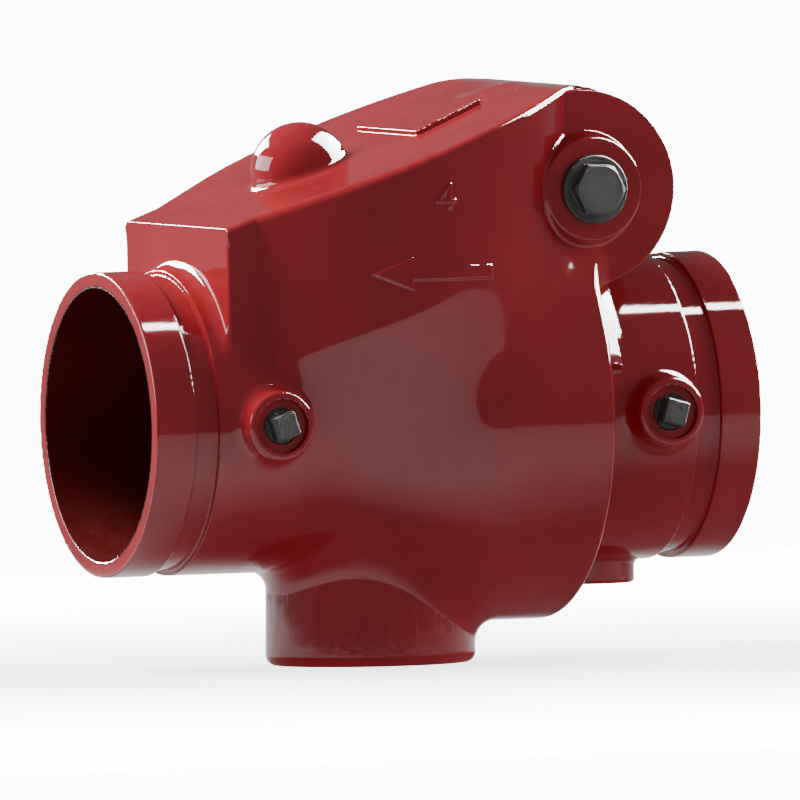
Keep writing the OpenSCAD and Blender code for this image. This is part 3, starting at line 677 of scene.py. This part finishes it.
def hingePin():
    p = pinSize
    low, high = boxOf("hinge_pin")
    profile = [(p["middle"], low[1]), (p["end"], low[1]), (p["r"], low[1] + p["bevel"]),
               (p["r"], high[1] - p["bevel"]), (p["end"], high[1]), (p["middle"], high[1])]
    keep(turned("hingePin", profile, "y", (hx, 0, hz), p["edge"]), "hinge_pin", "valve", "stainless")


seatRing()
boltR, pinR = k["bolt"] + k["clear"], armSize["pinHole"]
ringNode("clapper_facing", "clapperFacing", "x", k["facingHole"] + k["clear"], "rubber", "clapper_group", 0.5)
ringNode("bolt_seal", "boltSeal", "x", boltR, "rubber", "clapper_group", 0.5)
ringNode("nut_washer", "nutWasher", "x", boltR, "stainless", "clapper_group", 0.25)
hingePin()
for end in ("near", "far"):
    big = end.capitalize()
    ringNode("hinge_bush_" + end, "hingeBush" + big, "y", pinR, "bronze", "valve", 0.4)
    ringNode("thrust_washer_" + end, "thrustWasher" + big, "y", pinR, "bronze", "valve", 0.2)
    ringNode("plug_seal_" + end, "plugSeal" + big, "y", c["plugHole"], "rubber", "valve", 0.4)

springSize = dict(
    wire=2.6, coil=9.5, turns=6, start=-40, end=140, gap=0.3, bendDrop=26,
    bendH=6, bendIn=1, pushZ=36, steps=40, legSteps=(8, 3, 8), sides=14, tip=0.82)


def springPath():  # the wire's middle line: the leg in the casting, the coils and the leg on the arm
    p = springSize
    half = armSize["eyeIn"] - p["gap"] - p["wire"]
    stay = math.sqrt((c["pocketR"] - p["wire"] / 2 - p["gap"]) ** 2 - p["coil"] ** 2)
    pushX = plateBack - armSize["thick"] - p["wire"] / 2 - p["gap"]
    bendZ = hz - p["bendDrop"]
    sweep = 360 * p["turns"] + p["end"] - p["start"]
    a0 = math.radians(p["start"])
    x, z = hx + p["coil"] * math.cos(a0), hz + p["coil"] * math.sin(a0)
    first, begin = Vector((x - stay * math.sin(a0), -half, z + stay * math.cos(a0))), Vector((x, -half, z))
    count, lead = int(p["steps"] * (p["turns"] + 0.5)), p["legSteps"][0]
    path = [first.lerp(begin, i / lead) for i in range(lead)]
    for i in range(count + 1):
        t = i / count
        a = a0 + t * math.radians(sweep)
        path.append(Vector((hx + p["coil"] * math.cos(a), half * (2 * t - 1), hz + p["coil"] * math.sin(a))))
    leave = [path[-1], Vector((pushX - p["bendIn"], half, bendZ)), Vector((pushX, half, bendZ - p["bendH"])),
             Vector((pushX, half, p["pushZ"]))]
    for a, b, n in zip(leave, leave[1:], p["legSteps"]):
        path += [a.lerp(b, i / n) for i in range(1, n + 1)]
    return path


def closingSpring():
    p = springSize
    path = springPath()
    points, faces, sides = [], [], p["sides"]
    for i, at in enumerate(path):
        ahead = (path[min(i + 1, len(path) - 1)] - path[max(i - 1, 0)]).normalized()
        u = ahead.cross(Vector((0, 1, 0.001))).normalized()
        v = u.cross(ahead)
        shrink = p["tip"] if i in (0, len(path) - 1) else 1
        for s in range(sides):
            t = 2 * math.pi * s / sides
            points.append((at + (u * math.cos(t) + v * math.sin(t)) * p["wire"] / 2 * shrink) * mm)
        if i:
            for s in range(sides):
                n = (s + 1) % sides
                faces.append(((i - 1) * sides + s, (i - 1) * sides + n, i * sides + n, i * sides + s))
    faces.append(tuple(range(sides))[::-1])
    faces.append(tuple(range((len(path) - 1) * sides, len(path) * sides)))
    mesh = bpy.data.meshes.new("closingSpring")
    mesh.from_pydata(points, [], faces)
    if outward(mesh) < 0:
        mesh.flip_normals()
    mesh.shade_smooth()
    mesh.set_sharp_from_angle(angle=math.radians(50))
    obj = link("closingSpring", mesh)
    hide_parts("closing_spring")
    pieces["closing_spring"] = obj
    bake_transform(obj)


closingSpring()
print("spring and rings made")


# finishes: a shared effect is a node group that gives out masks and heights

def newGroup(name, ins, *outs):
    tree = bpy.data.node_groups.new(name, "ShaderNodeTree")
    for label, value in ins.items():
        kind = "NodeSocketVector" if isinstance(value, tuple) else "NodeSocketFloat"
        tree.interface.new_socket(label, in_out="INPUT", socket_type=kind).default_value = value
    for label in outs:
        tree.interface.new_socket(label, in_out="OUTPUT", socket_type="NodeSocketFloat")
    return tree, tree.nodes.new("NodeGroupInput").outputs, tree.nodes.new("NodeGroupOutput").inputs


def put(tree, kind, inputs=None, **settings):  # the outputs of a node, its inputs set or linked
    node = tree.nodes.new("ShaderNode" + kind)
    for key, value in settings.items():
        setattr(node, key, value)
    for key, value in (inputs or {}).items():
        if isinstance(value, bpy.types.NodeSocket):
            tree.links.new(value, node.inputs[key])
        else:
            node.inputs[key].default_value = value
    return node.outputs


def maths(tree, what, a, b):
    return put(tree, "Math", {0: a, 1: b}, operation=what)[0]


def times(tree, product, *values):
    for value in values:
        product = maths(tree, "MULTIPLY", product, value)
    return product


def vectors(tree, what, a, b=(0.0, 0.0, 0.0)):
    outs = put(tree, "VectorMath", {0: a, 1: b}, operation=what)
    return outs["Value" if what in ("LENGTH", "DOT_PRODUCT") else "Vector"]


def between(tree, value, low, high, to0=0.0, to1=1.0):  # a value's range mapped to another
    return put(tree, "MapRange", {0: value, 1: low, 2: high, 3: to0, 4: to1},
               interpolation_type="SMOOTHSTEP")[0]


def place(tree):
    return put(tree, "TexCoord")["Object"]


def noise(tree, scale, detail=3.0, rough=0.5):
    return put(tree, "TexNoise", {"Vector": place(tree), "Scale": scale, "Detail": detail,
                                  "Roughness": rough})[0]


def rows(tree, way, detail):  # noise along one measure
    return put(tree, "TexNoise", {"W": way, "Scale": 1.0, "Detail": detail}, noise_dimensions="1D")[0]


def makeEdgeWear():  # where edges are rubbed, broken up by noise
    tree, ins, outs = newGroup("edgeWear", {"Reach": 0.0008, "Scale": 300, "Amount": 0.5}, "Mask")
    soft = put(tree, "Bevel", {"Radius": ins["Reach"]}, samples=4)[0]
    flat = put(tree, "NewGeometry")["Normal"]
    edge = between(tree, vectors(tree, "DOT_PRODUCT", soft, flat), 0.995, 0.86)
    patch = between(tree, noise(tree, ins["Scale"], 5.0, 0.65), 0.42, 0.62)
    tree.links.new(times(tree, edge, patch, ins["Amount"]), outs["Mask"])
    return tree


def makeCastSkin():  # the soft unevenness of a sand casting
    tree, ins, outs = newGroup("castSkin", {"Scale": 200, "Grain": 0.4}, "Height", "Mottle")
    fine = noise(tree, times(tree, ins["Scale"], 7.0), 3.0, 0.6)
    height = maths(tree, "ADD", noise(tree, ins["Scale"], 2.0), times(tree, fine, ins["Grain"]))
    tree.links.new(height, outs["Height"])
    broad = noise(tree, times(tree, ins["Scale"], 0.16), 4.0)
    tree.links.new(between(tree, broad, 0.3, 0.7), outs["Mottle"])
    return tree


def makePaintPeel():  # the fine waves of sprayed gloss paint
    tree, ins, outs = newGroup("paintPeel", {"Scale": 650}, "Height")
    tree.links.new(noise(tree, ins["Scale"], 1.5, 0.4), outs["Height"])
    return tree


def makeTurnedLines():  # the fine rings of a lathe tool, by distance from an axis
    tree, ins, outs = newGroup("turnedLines", {"Centre": (0, 0, 0), "Across": (0, 1, 1), "Along": (1, 0, 0),
                                               "Pitch": 0.00035}, "Height", "Tone")
    off = vectors(tree, "SUBTRACT", place(tree), ins["Centre"])
    radius = vectors(tree, "LENGTH", vectors(tree, "MULTIPLY", off, ins["Across"]))
    along = vectors(tree, "DOT_PRODUCT", off, ins["Along"])
    way = maths(tree, "DIVIDE", maths(tree, "ADD", radius, along), ins["Pitch"])
    tree.links.new(rows(tree, way, 2.0), outs["Height"])
    tree.links.new(between(tree, rows(tree, times(tree, way, 0.06), 3.0), 0.3, 0.7), outs["Tone"])
    return tree


def makeDust():  # fine dust that settles on faces that look up
    tree, ins, outs = newGroup("dust", {"Amount": 0.2, "Scale": 90}, "Mask")
    up = put(tree, "NewGeometry")["Normal"]
    up = between(tree, put(tree, "SeparateXYZ", {0: up})["Z"], 0.35, 1.0)
    spread = between(tree, noise(tree, ins["Scale"], 6.0, 0.7), 0.35, 0.75)
    tree.links.new(times(tree, up, spread, ins["Amount"]), outs["Mask"])
    return tree


groups = {"edgeWear": makeEdgeWear(), "castSkin": makeCastSkin(), "paintPeel": makePaintPeel(),
          "turnedLines": makeTurnedLines(), "dust": makeDust()}


def effect(tree, name, **values):  # a group placed in a material with its own values
    node = tree.nodes.new("ShaderNodeGroup")
    node.node_tree = groups[name]
    for key, value in values.items():
        node.inputs[key].default_value = value
    return node.outputs


def mixed(tree, mask, a, b):
    return put(tree, "Mix", {0: mask, 6: a, 7: b}, data_type="RGBA")[2]


def bump(tree, height, distance, strength, normal=None):
    inputs = {"Height": height, "Distance": distance, "Strength": strength}
    if normal:
        inputs["Normal"] = normal
    return put(tree, "Bump", inputs)[0]


def newFinish(name, **plain):  # a material with its shader and its plain values
    finish = bpy.data.materials.new(name)
    finish.use_nodes = True
    tree = finish.node_tree
    shader = tree.nodes["Principled BSDF"]
    for key, value in plain.items():
        shader.inputs[key.replace("_", " ")].default_value = value
    return finish, tree, shader.inputs


def colour(r, g, b):
    return (r, g, b, 1.0)


# in a look, skin is scale and grain, wear is reach, scale and amount, dust is amount and scale
paintLook = dict(
    # bore is a painted shade colour, darker paint for the inside of the pipe
    red=colour(0.45, 0.026, 0.034), deep=colour(0.37, 0.02, 0.026), bore=colour(0.13, 0.012, 0.011),
    worn=colour(0.09, 0.035, 0.03), dusty=colour(0.5, 0.3, 0.28), boreShadeFade=(1.5, 0.3),
    rough=(0.035, 0.065), wear=(0.0006, 420, 0.2), dust=(0.06, 120), rubbed=0.6,
    skin=(150, 0.25), skinDepth=0.00003, peel=620, peelDepth=0.000006)


def glossPaint():
    p = paintLook
    finish, tree, shader = newFinish("glossPaint", IOR=1.5, Coat_Roughness=0.04, Coat_IOR=1.5)
    skin = effect(tree, "castSkin", Scale=p["skin"][0], Grain=p["skin"][1])
    reach, scale, amount = p["wear"]
    wear = effect(tree, "edgeWear", Reach=reach, Scale=scale, Amount=amount)["Mask"]
    dust = effect(tree, "dust", Amount=p["dust"][0], Scale=p["dust"][1])["Mask"]
    peel = effect(tree, "paintPeel", Scale=p["peel"])["Height"]
    paint = mixed(tree, skin["Mottle"], p["red"], p["deep"])
    radius = vectors(tree, "LENGTH", vectors(tree, "MULTIPLY", place(tree), (0, 1, 1)))
    start, end = [(c["bore"] + v) * mm for v in p["boreShadeFade"]]
    paint = mixed(tree, between(tree, radius, start, end), paint, p["bore"])  # painted shade: darker paint inside the bore
    paint = mixed(tree, dust, mixed(tree, wear, paint, p["worn"]), p["dusty"])
    tree.links.new(paint, shader["Base Color"])
    rough = between(tree, skin["Mottle"], 0, 1, *p["rough"])
    rubbed = times(tree, maths(tree, "ADD", wear, dust), p["rubbed"])
    tree.links.new(maths(tree, "ADD", rough, rubbed), shader["Roughness"])
    normal = bump(tree, skin["Height"], p["skinDepth"], 0.7)
    tree.links.new(bump(tree, peel, p["peelDepth"], 0.8, normal), shader["Normal"])
    return finish


stainlessLook = dict(
    light=colour(0.62, 0.61, 0.59), dark=colour(0.5, 0.5, 0.49), stain=colour(0.4, 0.38, 0.35),
    bare=colour(0.8, 0.79, 0.77), rough=0.24, pitch=0.0003)
bronzeLook = dict(
    light=colour(0.66, 0.44, 0.22), dark=colour(0.52, 0.33, 0.15), stain=colour(0.3, 0.2, 0.11),
    bare=colour(0.85, 0.62, 0.36), rough=0.26, pitch=0.00025)

turnedLook = dict(
    wear=(0.0004, 500, 0.7), skin=(260, 0.5), stained=0.35, rougher=(0.1, 0.08), lines=(0.00003, 0.5))


def turnedMetal(name, look, onPin):  # turned about the hinge pin's axis, or about the pipe's
    p = turnedLook
    finish, tree, shader = newFinish(name, Metallic=1.0, IOR=1.5)
    axis = {"Centre": (hx * mm, 0, hz * mm), "Across": (1, 0, 1), "Along": (0, 1, 0)} if onPin else {}
    lines = effect(tree, "turnedLines", Pitch=look["pitch"], **axis)
    reach, scale, amount = p["wear"]
    wear = effect(tree, "edgeWear", Reach=reach, Scale=scale, Amount=amount)["Mask"]
    skin = effect(tree, "castSkin", Scale=p["skin"][0], Grain=p["skin"][1])
    metal = mixed(tree, lines["Tone"], look["light"], look["dark"])
    metal = mixed(tree, times(tree, skin["Mottle"], p["stained"]), metal, look["stain"])
    tree.links.new(mixed(tree, wear, metal, look["bare"]), shader["Base Color"])
    rough = between(tree, lines["Tone"], 0, 1, look["rough"], look["rough"] + p["rougher"][0])
    rough = maths(tree, "ADD", rough, times(tree, skin["Mottle"], p["rougher"][1]))
    tree.links.new(rough, shader["Roughness"])
    tree.links.new(bump(tree, lines["Height"], *p["lines"]), shader["Normal"])
    return finish


ironLook = dict(
    light=colour(0.2, 0.195, 0.19), dark=colour(0.13, 0.127, 0.125), bare=colour(0.45, 0.44, 0.42),
    dusty=colour(0.16, 0.07, 0.035), rough=(0.42, 0.62), metallic=0.85, skin=(300, 0.9),
    wear=(0.0007, 350, 0.8), dust=(0.25, 200), bump=(0.0003, 0.8))
springLook = dict(
    light=colour(0.5, 0.5, 0.51), dark=colour(0.32, 0.32, 0.33), bare=colour(0.5, 0.5, 0.51),
    rough=(0.23, 0.38), metallic=1.0, skin=(700, 0.6), wear=(0.0003, 600, 0.5),
    bump=(0.00004, 0.5))
rubberLook = dict(
    light=colour(0.035, 0.035, 0.037), dark=colour(0.018, 0.018, 0.019),
    dusty=colour(0.12, 0.12, 0.12), rough=(0.62, 0.8), metallic=0.0, skin=(500, 0.8),
    dust=(0.3, 150), bump=(0.00008, 0.6))
plugLook = dict(
    light=colour(0.062, 0.061, 0.058), dark=colour(0.04, 0.039, 0.037), bare=colour(0.3, 0.28, 0.25),
    dusty=colour(0.11, 0.05, 0.028), rough=(0.32, 0.52), metallic=0.0, skin=(420, 0.7),
    wear=(0.0005, 420, 0.65), dust=(0.12, 220), bump=(0.0001, 0.6))


def rawFinish(name, look):  # a material with no coat: its own skin, rubbed edges and dust
    finish, tree, shader = newFinish(name, Metallic=look["metallic"], IOR=1.5)
    skin = effect(tree, "castSkin", Scale=look["skin"][0], Grain=look["skin"][1])
    tone = mixed(tree, skin["Mottle"], look["light"], look["dark"])
    if "wear" in look:
        reach, scale, amount = look["wear"]
        wear = effect(tree, "edgeWear", Reach=reach, Scale=scale, Amount=amount)["Mask"]
        tone = mixed(tree, wear, tone, look["bare"])
    if "dust" in look:
        amount, scale = look["dust"]
        tone = mixed(tree, effect(tree, "dust", Amount=amount, Scale=scale)["Mask"], tone, look["dusty"])
    tree.links.new(tone, shader["Base Color"])
    tree.links.new(between(tree, skin["Height"], 0.3, 1.0, *look["rough"]), shader["Roughness"])
    tree.links.new(bump(tree, skin["Height"], *look["bump"]), shader["Normal"])
    return finish


stainless = turnedMetal("stainlessTurned", stainlessLook, False)
bronze = turnedMetal("bronzeBush", bronzeLook, True)
rubber, black = rawFinish("mouldedRubber", rubberLook), rawFinish("blackenedSteel", plugLook)
finishOf = {
    "valve_body": glossPaint(), "clapper_arm": rawFinish("castIron", ironLook),
    "closing_spring": rawFinish("drawnWire", springLook),
    "seat_ring": turnedMetal("bronzeSeat", bronzeLook, False),
    "hinge_pin": turnedMetal("stainlessPin", stainlessLook, True),
    "clapper_facing": rubber, "bolt_seal": rubber, "gauge_plug_outlet": black, "gauge_plug_inlet": black}
for end in ("near", "far"):
    finishOf["hinge_bush_" + end] = finishOf["thrust_washer_" + end] = bronze
    finishOf["plug_seal_" + end], finishOf["hinge_plug_" + end] = rubber, black
for node, obj in pieces.items():
    obj.data.materials.clear()
    obj.data.materials.append(finishOf.get(node, stainless))
for node, obj in frame["nodes"].items():  # the hidden solids get the same finishes
    for slotNumber in range(len(getattr(obj, "material_slots", []))):
        obj.material_slots[slotNumber].material = finishOf.get(node, stainless)
print("finishes made")

# floor, lights and camera, in metres
studio = dict(
    centre=(0.12, 0.0, 0.0), floor=0.9, floorHalf=0.85, floorDrop=0.0001, floorSquares=16,
    floorNear=3.0, floorGlow=(0.12, 0.75), white=12.0,
    boxAway=2.2, boxSize=1.2, key=92, keyFrom=(-0.6, 0.35, 0.72),
    fill=17, fillFrom=(0.9, -0.3, 0.3), front=0.24, horizon=0.36, rear=0.13, below=0.42,
    panel=95, panelEdge=0.015, panelDepth=2.5)
# each panel has its strength and the directions of its corners
panels = [
    (1.0, [(0.61, 0.48, 0.63), (0.329, -0.183, 0.928), (0.878, -0.388, 0.281), (0.632, 0.772, 0.068)]),
    (1.0, [(-0.08, 0.987, 0.14), (-0.012, 0.887, 0.462), (-0.569, 0.548, 0.613), (-0.47, 0.85, 0.27)]),
    (0.1, [(-0.445, 0.856, 0.266), (-0.878, 0.076, 0.472), (-0.98, 0.18, 0.03), (-0.5, 0.86, 0.03)])]


def paleFloor():  # a painted glow: the camera sees it glow white at its edges and less near the valve, a painted shade around it
    p = studio
    mesh = bpy.data.meshes.new("paleFloor")
    n, half, z = p["floorSquares"], p["floorHalf"], -c["drainZ"] * mm - p["floorDrop"]
    points = [(p["centre"][0] - half + 2 * half * i / n, -half + 2 * half * j / n, z)
              for j in range(n + 1) for i in range(n + 1)]
    faces = [(j * (n + 1) + i, j * (n + 1) + i + 1, (j + 1) * (n + 1) + i + 1, (j + 1) * (n + 1) + i)
             for j in range(n) for i in range(n)]
    mesh.from_pydata(points, [], faces)
    obj = link("paleFloor", mesh)
    finish, tree, shader = newFinish("paleFloor", Roughness=0.7)
    mottle = effect(tree, "castSkin", Scale=30, Grain=0.5)["Mottle"]
    light, dark = p["floor"], p["floor"] * 0.99
    tone = mixed(tree, mottle, colour(light, light, light), colour(dark, dark, dark))
    tree.links.new(tone, shader["Base Color"])
    far = vectors(tree, "LENGTH", vectors(tree, "SUBTRACT", place(tree), p["centre"]))
    # painted glow, seen only by the camera and weakest near the valve
    glow = between(tree, far, *p["floorGlow"], p["floorNear"], p["white"])
    seen = put(tree, "LightPath")["Is Camera Ray"]
    tree.links.new(times(tree, glow, seen), shader["Emission Strength"])
    shader["Emission Color"].default_value = colour(1, 1, 1)
    mesh.materials.append(finish)
    obj.visible_diffuse = obj.visible_shadow = False  # the floor shows in the paint but doesn't light it


def turnedTo(x, y, z, at):  # a matrix from three directions and a place
    return Matrix(((x.x, y.x, z.x, at.x), (x.y, y.y, z.y, at.y), (x.z, y.z, z.z, at.z), (0, 0, 0, 1)))


def softBox(name, toward, power):  # a studio softbox that looks at the valve
    lamp = bpy.data.lights.new(name, "AREA")
    lamp.shape, lamp.size, lamp.energy = "SQUARE", studio["boxSize"], power
    obj = link(name, lamp)
    z = Vector(toward).normalized()
    x = Vector((0, 0, 1)).cross(z).normalized()
    obj.matrix_world = turnedTo(x, z.cross(x), z, Vector(studio["centre"]) + z * studio["boxAway"])
    obj.visible_glossy = False
    return obj


def mixedValue(tree, mask, a, b):
    return put(tree, "Mix", {0: mask, 2: a, 3: b})[0]


def panelMask(tree, at, corners):  # 1 inside a four-sided panel, seen by direction
    inside, middle = 1.0, sum((Vector(v) for v in corners), Vector())
    for i in range(4):
        edge = Vector(corners[i]).cross(Vector(corners[(i + 1) % 4])).normalized()
        edge = edge if edge.dot(middle) > 0 else -edge
        dot = vectors(tree, "DOT_PRODUCT", at, edge)
        inside = times(tree, between(tree, dot, 0.0, studio["panelEdge"]), inside)
    return inside


def studioWalls():  # a dim room with bright panels that the gloss shows, and white to the camera
    p = studio
    world = bpy.data.worlds.new("studio")
    bpy.context.scene.world = world
    world.use_nodes = True
    tree = world.node_tree
    tree.nodes.clear()
    at = put(tree, "TexCoord")["Generated"]
    way = put(tree, "SeparateXYZ", {0: at})
    rear = mixedValue(tree, between(tree, way["Z"], 0.02, 0.25), p["horizon"], p["rear"])
    level = mixedValue(tree, between(tree, way["Y"], -0.12, 0.02), p["front"], rear)
    level = mixedValue(tree, between(tree, way["Z"], -0.06, -0.3), level, p["below"])
    paths = put(tree, "LightPath")
    early = maths(tree, "LESS_THAN", paths["Ray Depth"], p["panelDepth"])
    for strength, corners in panels:
        inside = times(tree, panelMask(tree, at, corners), early, paths["Is Glossy Ray"])
        level = maths(tree, "ADD", level, times(tree, inside, strength * p["panel"]))
    level = mixedValue(tree, paths["Is Camera Ray"], level, p["white"])
    both = put(tree, "CombineColor", {0: level, 1: level, 2: level})[0]
    light = put(tree, "Background", {"Color": both, "Strength": 1.0})[0]
    put(tree, "OutputWorld", {"Surface": light})


paleFloor()
studioWalls()
softBox("keyBox", studio["keyFrom"], studio["key"])
softBox("fillBox", studio["fillFrom"], studio["fill"])

cameraView = dict(
    right=(0.9227, -0.3849, -0.0198), up=(0.0337, 0.0294, 0.9992), back=(-0.3840, -0.9226, 0.0401),
    at=(0.10424, -0.04307, 0.00721), away=2, width=0.2988, reach=20)


def orthoCamera():
    p = cameraView
    camera = bpy.data.cameras.new("camera")
    camera.type, camera.ortho_scale, camera.clip_end = "ORTHO", p["width"], p["reach"]
    obj = link("camera", camera)
    right, up, back, at = [Vector(p[key]) for key in ("right", "up", "back", "at")]
    obj.matrix_world = turnedTo(right, up, back, at + back * p["away"])
    bpy.context.scene.camera = obj


orthoCamera()
print("scene ready")
